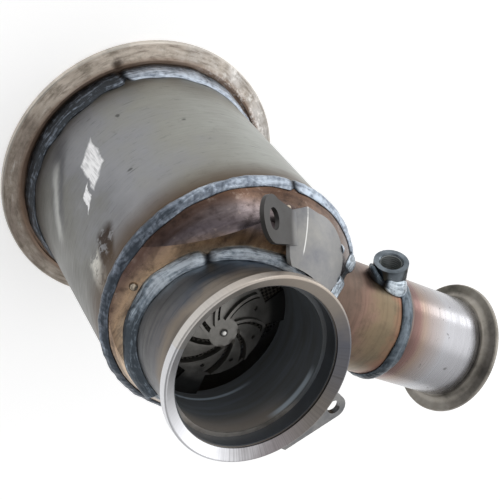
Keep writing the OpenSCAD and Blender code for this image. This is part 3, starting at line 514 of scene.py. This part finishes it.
# Painted shade: darker from 29 mm to 37 mm out from the axis.
skin = tint(tree, skin, "#2e2f30", radius, 0.029, 0.037, 0.85, **soft)
dress(tree, shader, skin, gloss=(cloud, 0.38, 0.55))
wear("swirl_plate", swirl_steel)

# Rivet: upset steel in the plate's hub, almost white.
rivet_steel, tree, shader, co = new_material("bright rivet steel", 0.25)
cloud = add(tree, "TexNoise", {"Vector": co, "Scale": 1 / 0.0025, "Detail": 3.0})
dress(tree, shader, add(tree, "ValToRGB", {0: cloud}, stops=[(0.3, "#c4c3bf"), (0.7, "#eeede9")]))
wear("swirl_rivet", rivet_steel)


# Neck weld. One bead round the foot of the neck tube, where it passes the dome and the outlet stub.
# Paler towards +Y as painted light and darker away from it as painted shade, with one place where the torch
# was lifted.

pipe_r = 0.032
outlet_at = np.array([0.016, 0.165])
outlet_from_x = 0.02
neck_steps = 1200


def unit(ways):
    """Each direction divided by its length."""
    return ways / np.linalg.norm(ways, axis=1, keepdims=True)


def along_wall(ways, normals):
    """Directions in a wall: each way less its part along the wall's normal, made a unit."""
    return unit(ways - (ways * normals).sum(1, keepdims=True) * normals)


def smooth(values, reach):
    """Mean of each value on a closed ring and its neighbours up to a reach to either side."""
    count = 2 * reach + 1
    closed = np.concatenate([values[-reach:], values, values[:reach]])
    return np.convolve(closed, np.ones(count) / count, "valid")


def to_pipe(points, axis):
    """Way along an axis from each point to the outlet tube's skin: the larger root s of the quadratic
    |point + s axis| = radius, in the plane across the tube, and -1 where the line misses the tube."""
    off = points[:, 1:] - outlet_at
    lead = off @ axis[1:]
    square = axis[1:] @ axis[1:]
    under_root = lead ** 2 - square * ((off * off).sum(1) - pipe_r ** 2)
    return np.where(under_root > 0, (np.sqrt(np.maximum(under_root, 0)) - lead) / square, -1)


# The foot is on the lower of ball and facet, or on the outlet tube where that is higher.
neck_turn = np.linspace(0, 2 * np.pi, neck_steps, endpoint=False)
radial = np.cos(neck_turn)[:, None] * np.array([1.0, 0, 0]) + np.sin(neck_turn)[:, None] * neck_side
rim = neck_mouth + neck_r * radial
lead = (rim - ball) @ neck_axis
on_ball = -lead + np.sqrt(lead ** 2 - ((rim - ball) ** 2).sum(1) + ball_r ** 2)
on_facet = (facet @ facet_top - rim @ facet) / (facet @ neck_axis)
on_pipe = np.where(rim[:, 0] > outlet_from_x, to_pipe(rim, neck_axis), -1)
high = smooth(np.maximum(np.minimum(on_ball, on_facet), on_pipe), reach=15)
foot = rim + high[:, None] * neck_axis
normal = np.where((on_facet < on_ball)[:, None], facet, unit(foot - ball))
neck_bead = bead("neck_bead", foot, along_wall(radial, normal), np.tile(neck_axis, (neck_steps, 1)),
                 half=0.0066, crown=0.0052, end=np.pi / 2, pitch=0.0048, ripple=0.00015, lump=0.00025, seed=3,
                 begun=(133 / 360,))
neck_bead.data.materials.append(weld_steel(
    "weld metal, neck", "#dbe5ef", "#98a5b2", "#565e66", (0.05, 0.998, 0), -0.045, 0.012, size=0.014))
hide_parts("neck_weld")


# Neck flange. A rolled ring of stainless steel at the neck's mouth, with a coned face for a gasket.
# Painted bright on the lower left as a highlight, straw coloured above, blued on the outlet side and painted
# darker there as shade, with marks across.

neck_ring_steel, tree, shader, co = new_material("ground stainless ring")
local = add(tree, "Mapping", {"Vector": co, **neck_place})
part = add(tree, "SeparateXYZ", {0: local})
angle = add(tree, "Math", {0: part.node.outputs[1], 1: part}, operation="ARCTAN2")
spin = add(tree, "CombineXYZ", {0: add(tree, "Math", {0: angle}, operation="COSINE"),
                                1: add(tree, "Math", {0: angle}, operation="SINE")})
# Grinding marks are really about 0.2 mm wide; they are drawn at 0.8 mm, so that they show.
mark_width = 0.000833
marks = add(tree, "TexNoise", {"Vector": spin, "Scale": neck_r / mark_width, "Detail": 4.0, "Roughness": 0.7})
cloud = add(tree, "TexNoise", {"Vector": co, "Scale": 1 / 0.025, "Detail": 4.0})
drift = add(tree, "MapRange", {0: cloud, 1: 0.3, 2: 0.7, 3: -0.03, 4: 0.03})
# Painted light and shade round the ring: a highlight on the lower left and darker shade on the outlet side,
# over its straw and blue tints, with random drift.
shading_tone = add(tree, "MapRange", {0: angle, 1: -math.pi, 2: math.pi})
shading_tone = add(tree, "Math", {0: shading_tone, 1: drift}, operation="ADD")
skin = add(tree, "ValToRGB", {0: shading_tone},
           stops=[(0.0, "#cdcdcf"), (0.24, "#eeeff3"), (0.355, "#918b8d"), (0.45, "#807a74"),
                  (0.58, "#75767e"), (0.67, "#a59c93"), (0.8, "#bfb4a8"), (1.0, "#cbc8c4")])
ground = add(tree, "VectorMath", {0: local, 1: (0.8, -0.6, 0)}, out=1, operation="DOT_PRODUCT")
ground = add(tree, "MapRange", {0: ground, 1: 0.01, 2: 0.045, 3: 0.08, 4: 0.45}, **soft)
skin = tint(tree, skin, "#4c4a49", marks, 0.45, 0.7, within=ground)
dress(tree, shader, skin, gloss=(cloud, 0.26, 0.4), relief=(marks, 0.06, 0.0003))
wear("neck_flange", neck_ring_steel)


# Neck lug. A flat steel ear with a bolt hole, cut from plate and filleted to the neck tube under the ring.
# Dull mid grey with a cloudy mill finish.

lug_steel, tree, shader, co = new_material("cut steel plate")
cloud = add(tree, "TexNoise", {"Vector": co, "Scale": 1 / 0.0111, "Detail": 5.0, "Roughness": 0.65})
skin = add(tree, "ValToRGB", {0: cloud}, stops=[(0.3, "#717275"), (0.7, "#9f9e9c")])
dress(tree, shader, skin, gloss=(cloud, 0.34, 0.52), relief=(cloud, 0.1, 0.0003))
wear("neck_lug", lug_steel)

# Tacks and fillet: weld metal in short runs, silvery with darker specks.
tack_steel, tree, shader, co = new_material("weld metal, tacks", 0.34)
cloud = add(tree, "TexNoise", {"Vector": co, "Scale": 1 / 0.00385, "Detail": 4.0, "Roughness": 0.6})
skin = add(tree, "ValToRGB", {0: cloud}, stops=[(0.3, "#7d858e"), (0.5, "#b3bcc6"), (0.7, "#e2eaf1")])
dress(tree, shader, skin, relief=(cloud, 0.5, 0.0005))
wear("lug_weld", tack_steel)
wear("bracket_tacks", tack_steel)


# Outlet stub. A side tube of stainless steel from the dome to the outlet pipe.
# Tan to copper brown from the heat of three welds, rose beside the pipe's weld and greenish gold between.

stub_steel, tree, shader, co = new_material("heat tinted stainless tube")
cloud = add(tree, "TexNoise", {"Vector": co, "Scale": 1 / 0.0238, "Detail": 5.0, "Roughness": 0.6})
blur = add(tree, "Math", {0: cloud, 1: 0.034, 2: -0.017}, operation="MULTIPLY_ADD")
along = add(tree, "Math", {0: add(tree, "SeparateXYZ", {0: co}), 1: blur}, operation="ADD")
skin = add(tree, "ValToRGB", {0: add(tree, "MapRange", {0: along, 1: 0.052, 2: 0.1})},
           stops=[(0.0, "#67574e"), (0.25, "#80685d"), (0.45, "#80705c"), (0.62, "#7b6e5a"), (0.8, "#8d6a57"),
                  (0.9, "#7b6061"), (1.0, "#7d706b")])
soiled = add(tree, "TexNoise", {"Vector": co, "Scale": 1 / 0.0077, "Detail": 6.0, "Roughness": 0.75})
skin = tint(tree, skin, "#4f463e", soiled, 0.5, 0.72, 0.5)
# Brush lines round the tube, drawn coarse at 1.4 mm, so that they show.
hoops = add(tree, "Mapping", {"Vector": co, "Scale": (1 / 0.0014, 1 / 0.03, 1 / 0.03)})
lines = add(tree, "TexNoise", {"Vector": hoops, "Scale": 1.0, "Detail": 4.0})
skin = tint(tree, skin, "#4b4038", lines, 0.5, 0.72, 0.35)
dress(tree, shader, skin, gloss=(cloud, 0.28, 0.44))
wear("outlet_stub", stub_steel)


# Stub weld. The bead where the side tube leaves the dome, the can's edge and the neck.
# Lumpy, painted paler towards +Y and upwards as light, with one dark place where the torch was moved in short
# steps.

neck_from_z = 0.18
stub_steps = 900
# The tube's circle is carried along X to the ball or the can below it, or to the neck where that is farther.
stub_turn = np.linspace(0, 2 * np.pi, stub_steps, endpoint=False)
spoke = np.stack([0 * stub_turn, np.cos(stub_turn), np.sin(stub_turn)], 1)
y, z = outlet_at[:, None] + pipe_r * spoke[:, 1:].T
at_ball = np.sqrt(np.maximum(ball_r ** 2 - y ** 2 - (z - ball[2]) ** 2, 1e-6))
at_can = np.sqrt(can_r ** 2 - y ** 2)
over = (y - neck_mouth[1]) * neck_side[1] + (z - neck_mouth[2]) * neck_side[2]
at_neck = neck_mouth[0] + np.sqrt(np.maximum(neck_r ** 2 - over ** 2, 0))
x = np.maximum(np.where(z > can_top, at_ball, at_can), np.where(z > neck_from_z, at_neck, 0))
x = smooth(x, reach=10)
foot = np.stack([x, y, z], 1)
wall = np.where((z > can_top)[:, None], unit(foot - ball), unit(np.stack([x, y, 0 * z], 1)))
stub_bead = bead("stub_bead", foot, along_wall(spoke, wall), np.tile([1.0, 0, 0], (stub_steps, 1)),
                 half=0.0044, crown=0.0042, end=np.pi / 2, pitch=0.004, ripple=0.0001, lump=0.0007, seed=4,
                 begun=(0.072, 0.083, 0.094, 0.105))
stub_bead.data.materials.append(weld_steel(
    "weld metal, stub", "#cdd8e2", "#7d868f", "#3f444a", (0, 0.9, 0.44), 0.03, 0.14, size=0.007))
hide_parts("stub_weld")


# Sensor boss. A turned bung with a threaded hole, gunmetal from the heat, welded on aslant.
# Its bead is laid in two runs, one on the dome's side painted dark as shade and one by the pipe painted
# bright as light.

boss_foot = np.array([0.0833, 0.04764, 0.16979])
boss_axis = np.array([-0.529919, 0.838513, 0.126813])
boss_r = 0.0105
boss_bore = 0.0064
thread_pitch = 0.0015
boss_steel, tree, shader, co = new_material("turned steel bung")
cloud = add(tree, "TexNoise", {"Vector": co, "Scale": 1 / 0.00667, "Detail": 4.0})
skin = add(tree, "ValToRGB", {0: cloud}, stops=[(0.3, "#4c5359"), (0.7, "#7c848b")])
off = add(tree, "VectorMath", {0: co, 1: tuple(boss_foot.tolist())}, operation="SUBTRACT")
away = add(tree, "VectorMath", {0: off, 1: tuple(boss_axis.tolist())}, operation="CROSS_PRODUCT")
away = add(tree, "VectorMath", {0: away}, out=1, operation="LENGTH")
inner = add(tree, "MapRange", {0: away, 1: boss_bore + 0.0003, 2: boss_bore})
level = add(tree, "VectorMath", {0: off, 1: tuple(boss_axis.tolist())}, out=1, operation="DOT_PRODUCT")
thread = add(tree, "Math", {0: level, 1: 2 * math.pi / thread_pitch}, operation="MULTIPLY")
thread = add(tree, "Math", {0: thread}, operation="SINE")
thread = add(tree, "Math", {0: thread, 1: inner}, operation="MULTIPLY")
skin = tint(tree, skin, "#8b9090", inner)
tree.links.new(add(tree, "MapRange", {0: inner, 3: 1.0, 4: 0.2}), shader.inputs["Metallic"])
dress(tree, shader, skin, gloss=(cloud, 0.16, 0.3), relief=(thread, 0.6, 0.0004))
wear("sensor_boss", boss_steel)

boss_steps = 400
pipe_weld_edge = 0.0975
boss_turn = np.linspace(0, 2 * np.pi, boss_steps, endpoint=False)
first = np.cross(boss_axis, up)
first /= np.linalg.norm(first)
radial = np.cos(boss_turn)[:, None] * first + np.sin(boss_turn)[:, None] * np.cross(boss_axis, first)
rim = boss_foot + boss_r * radial
foot = rim + to_pipe(rim, boss_axis)[:, None] * boss_axis
normal = (foot - np.array([0, *outlet_at])) * np.array([0, 1, 1]) / pipe_r
run = along_wall(radial, normal)
room = np.clip((pipe_weld_edge - foot[:, 0]) / np.maximum(run[:, 0], 0.2), 0.0016, 0.006)
# Each run swells about one angle round the boss; the room before the pipe's weld limits the bead.
shaded_run = np.exp(-((boss_turn - math.radians(190)) / math.radians(24)) ** 2)
lit_run = np.exp(-((boss_turn - math.radians(285)) / math.radians(48)) ** 2)
half = np.minimum(0.0018 + 0.0038 * shaded_run + 0.0008 * lit_run, room)
crown = 0.0042 + 0.003 * shaded_run + 0.0064 * lit_run
boss_bead = bead("boss_bead", foot, run, np.tile(boss_axis, (boss_steps, 1)), half, crown, end=np.pi / 2,
                 pitch=0.004, ripple=0.0001, lump=0.0005, seed=5, begun=(222 / 360,))
# Painted light along X: the run on the dome's side is dark as shade and the run by the pipe bright.
boss_bead.data.materials.append(weld_steel(
    "weld metal, boss", "#dde8f1", "#8f9ba6", "#4a535b", (1, 0, 0), 0.0705, 0.0785, size=0.012))
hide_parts("boss_weld")


# Outlet pipe. Drawn stainless tube, brushed round, bright; rose and gold beside its weld, with a few pits.
# Brush lines are really about 0.1 mm wide; they are drawn at 1.1 mm, so that they show.
# Its weld is one smooth, slate grey bead that wanders a little round the joint with the stub.

pipe_steel, tree, shader, co = new_material("brushed stainless tube")
hoops = add(tree, "Mapping", {"Vector": co, "Scale": (1 / 0.00111, 1 / 0.025, 1 / 0.025)})
rings = add(tree, "TexNoise", {"Vector": hoops, "Scale": 1.0, "Detail": 3.0})
cloud = add(tree, "TexNoise", {"Vector": co, "Scale": 1 / 0.0333, "Detail": 4.0})
pits = add(tree, "TexNoise", {"Vector": co, "Scale": 1 / 0.004545, "Detail": 2.0})
blur = add(tree, "Math", {0: cloud, 1: 0.01, 2: -0.005}, operation="MULTIPLY_ADD")
along = add(tree, "Math", {0: add(tree, "SeparateXYZ", {0: co}), 1: blur}, operation="ADD")
skin = add(tree, "ValToRGB", {0: add(tree, "MapRange", {0: along, 1: 0.1, 2: 0.13})},
           stops=[(0.0, "#6d5753"), (0.18, "#7f6560"), (0.32, "#948277"), (0.55, "#9c928f"),
                  (0.78, "#a5a0a0"), (1.0, "#adadb1")])
skin = tint(tree, skin, "#4a4846", pits, 0.7, 0.76, 0.6)
dress(tree, shader, skin, gloss=(rings, 0.2, 0.32), relief=(rings, 0.08, 0.0002))
wear("outlet_pipe", pipe_steel)

joint_x = 0.0972
joint_wander = 0.0035
joint_lean = math.radians(30)
seam = np.stack([joint_x - joint_wander * np.cos(stub_turn - joint_lean), y, z], 1)
joint_bead = bead("joint_bead", seam, np.tile([1.0, 0, 0], (stub_steps, 1)), spoke, half=0.0044, crown=0.0022,
                  end=np.pi, pitch=0.0034, ripple=0.00008, lump=0.00015, seed=6)
# Painted paler towards +Y as light.
joint_bead.data.materials.append(weld_steel(
    "weld metal, joint", "#757f88", "#535c64", "#3b4148", (0, 0.9, 0.2), 0.0, 0.09, size=0.03))
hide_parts("joint_weld")


# Outlet flange. A flared steel ring at the outlet's end for a band clamp, seated on the drawn-in pipe.
# Dull and oxidised, olive brown in clouds.

outlet_ring_steel, tree, shader, co = new_material("oxidised steel ring")
cloud = add(tree, "TexNoise", {"Vector": co, "Scale": 1 / 0.0167, "Detail": 5.0, "Roughness": 0.65})
skin = add(tree, "ValToRGB", {0: cloud}, stops=[(0.3, "#6f6b65"), (0.5, "#97928a"), (0.7, "#b3aea7")])
dress(tree, shader, skin, gloss=(cloud, 0.36, 0.55), relief=(cloud, 0.1, 0.0003))
wear("outlet_flange", outlet_ring_steel)


# Bracket. Pressed sheet steel laid on the dome and tacked, with an ear folded up for a bolt.
# The plate is a plain grey with a scribed line; the ear is painted dark as shade.

scribe_from, scribe_to = np.array([0.0013, 0.0714, 0.1719]), np.array([-0.00027, 0.05262, 0.19121])
scribe_side = np.cross(scribe_from - ball, scribe_to - ball)
scribe_side /= np.linalg.norm(scribe_side)
ear_shade_from, ear_shade_full = 0.0885, 0.0925
bracket_steel, tree, shader, co = new_material("pressed sheet steel")
cloud = add(tree, "TexNoise", {"Vector": co, "Scale": 1 / 0.0167, "Detail": 5.0, "Roughness": 0.65})
skin = add(tree, "ValToRGB", {0: cloud}, stops=[(0.3, "#75767a"), (0.7, "#989794")])
off = add(tree, "VectorMath", {0: co, 1: tuple(ball.tolist())}, operation="SUBTRACT")
lift = add(tree, "VectorMath", {0: off}, out=1, operation="LENGTH")
# Painted shade: the ear, standing up from the plate, is painted dark.
skin = tint(tree, skin, "#393736", lift, ear_shade_from, ear_shade_full, 0.9, **soft)
beside = add(tree, "VectorMath", {0: off, 1: tuple(scribe_side.tolist())}, out=1, operation="DOT_PRODUCT")
beside = add(tree, "Math", {0: beside}, operation="ABSOLUTE")
height = add(tree, "SeparateXYZ", {0: co}, out=2)
scribed = add(tree, "MapRange", {0: height, 1: scribe_to[2] + 0.001, 2: scribe_to[2] - 0.001})
broken = add(tree, "MapRange", {0: cloud, 1: 0.35, 2: 0.5})
scribed = add(tree, "Math", {0: scribed, 1: broken}, operation="MULTIPLY")
skin = tint(tree, skin, "#f1f1ee", beside, 0.0005, 0.0002, 0.75, scribed)
dress(tree, shader, skin, gloss=(cloud, 0.34, 0.5), relief=(cloud, 0.06, 0.0003))
wear("bracket", bracket_steel)


# Weld spatter. Drops of weld metal that flew off and froze on the dome.
# Small bright balls, straw coloured by the heat.
# Each is a globe: point = centre + size (cos u sin v, sin u sin v, cos v), closed at both poles.

drops = (((-0.0654, -0.0078, 0.1631), 0.0025), ((-0.0106, 0.0674, 0.1721), 0.0017))
sides, levels = 24, 11
spatter_steel, tree, shader, co = new_material("frozen weld drops", 0.3)
cloud = add(tree, "TexNoise", {"Vector": co, "Scale": 1 / 0.002, "Detail": 3.0})
dress(tree, shader, add(tree, "ValToRGB", {0: cloud}, stops=[(0.3, "#8d8070"), (0.7, "#d8ccba")]))
u, v = np.meshgrid(np.linspace(0, 2 * np.pi, sides, endpoint=False),
                   np.linspace(0, np.pi, levels + 2)[1:-1], indexing="ij")
globe = np.stack([np.cos(u) * np.sin(v), np.sin(u) * np.sin(v), np.cos(v)], -1).reshape(-1, 3)
globe = np.concatenate([globe, [[0, 0, 1.0], [0, 0, -1.0]]])
i, j = np.meshgrid(np.arange(sides), np.arange(levels - 1), indexing="ij")
here, beyond = i * levels + j, (i + 1) % sides * levels + j
body = np.stack([here, here + 1, beyond + 1, beyond], -1).reshape(-1, 4)
here, beyond = here[:, 0], beyond[:, 0]
top, bottom = np.full(sides, sides * levels), np.full(sides, sides * levels + 1)
caps = np.concatenate([np.stack([top, here, beyond], 1),
                       np.stack([bottom, beyond + levels - 1, here + levels - 1], 1)])
points = np.concatenate([np.array(centre) + size * globe for centre, size in drops])
faces = []
for n in range(len(drops)):
    faces += (body + n * len(globe)).tolist() + (caps + n * len(globe)).tolist()
mesh = bpy.data.meshes.new("weld_spatter")
mesh.from_pydata(points.tolist(), [], faces)
mesh.shade_smooth()
mesh.materials.append(spatter_steel)
weld_spatter = bpy.data.objects.new("weld_spatter", mesh)
bpy.context.scene.collection.objects.link(weld_spatter)
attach(weld_spatter, "root")


# Floor and light. A pale paper floor that camera and reflections see as white, a broad window on the outlet
# side, a low panel that draws the pipe's bright band and a strip that draws the dome's.

floor_half = 40
mesh = bpy.data.meshes.new("floor")
mesh.from_pydata([(-floor_half, -floor_half, 0), (floor_half, -floor_half, 0),
                  (floor_half, floor_half, 0), (-floor_half, floor_half, 0)], [], [(0, 1, 2, 3)])
floor = bpy.data.objects.new("floor", mesh)
bpy.context.scene.collection.objects.link(floor)
paper, tree, shader, co = new_material("white paper", 0.9, metal=0.0)
shader.inputs["Specular IOR Level"].default_value = 0.0
shader.inputs["Emission Color"].default_value = (1, 1, 1, 1)
fibre = add(tree, "TexNoise", {"Vector": co, "Scale": 1 / 0.333})
dress(tree, shader, add(tree, "ValToRGB", {0: fibre}, stops=[(0.0, "#f1f1f1"), (1.0, "#f7f7f7")]))
path = add(tree, "LightPath").node.outputs
seen = add(tree, "Math", {0: path["Is Camera Ray"], 1: path["Is Glossy Ray"]}, operation="ADD")
seen = add(tree, "Math", {0: seen, 1: path["Is Transmission Ray"]}, operation="ADD")
glow = add(tree, "Math", {0: seen, 1: 0.4}, operation="MULTIPLY")
tree.links.new(glow, shader.inputs["Emission Strength"])
mesh.materials.append(paper)

for name, place, aim, size, power in (
        ("window", (1.0, 0.62, 0.6), (0.02, 0.0, 0.1), 0.9, 1.6),
        ("low panel", (0.72, 0.66, 0.13), (0.13, 0.02, 0.165), 0.24, 0.34),
        ("dome strip", (-0.08, 1.0, 0.34), (0.0, 0.05, 0.17), 0.3, 0.7)):
    lamp = bpy.data.lights.new(name, "AREA")
    lamp.size = size
    lamp.energy = power
    stand = bpy.data.objects.new(name, lamp)
    bpy.context.scene.collection.objects.link(stand)
    back = np.array(place) - np.array(aim)
    back /= np.linalg.norm(back)
    right = np.cross(up, back)
    right /= np.linalg.norm(right)
    stand.matrix_world = np.column_stack([np.vstack([right, np.cross(back, right), back, place]),
                                          [0, 0, 0, 1]]).tolist()

world = bpy.data.worlds.new("studio")
bpy.context.scene.world = world
world.use_nodes = True
tree = world.node_tree
background = tree.nodes["Background"]
background.inputs["Color"].default_value = (1, 1, 1, 1)
toward = add(tree, "VectorMath", {0: add(tree, "TexCoord"), 1: (0.62, 0.45, 0.64)}, out=1,
             operation="DOT_PRODUCT")
bright = add(tree, "MapRange", {0: toward, 1: -0.3, 2: 1.0, 3: 0.3, 4: 1.0})
tree.links.new(bright, background.inputs["Strength"])


# Camera. An 86 mm lens that looks down on the neck and turns the frame as the photograph does.
# The rows are the frame's right, its up, the way back to the eye, and the eye's place.

view = bpy.data.cameras.new("camera")
view.sensor_width = 36.0
view.lens = 85.73
view.clip_start = 0.01
camera = bpy.data.objects.new("camera", view)
bpy.context.scene.collection.objects.link(camera)
camera.matrix_world = [[0.767823, 0.499600, 0.401058, 0], [-0.267135, 0.818654, -0.508375, 0],
                       [-0.582311, 0.283205, 0.762043, 0], [-0.39521, 0.22082, 0.66599, 1]]
bpy.context.scene.camera = camera
bpy.context.scene.view_settings.view_transform = "Standard"
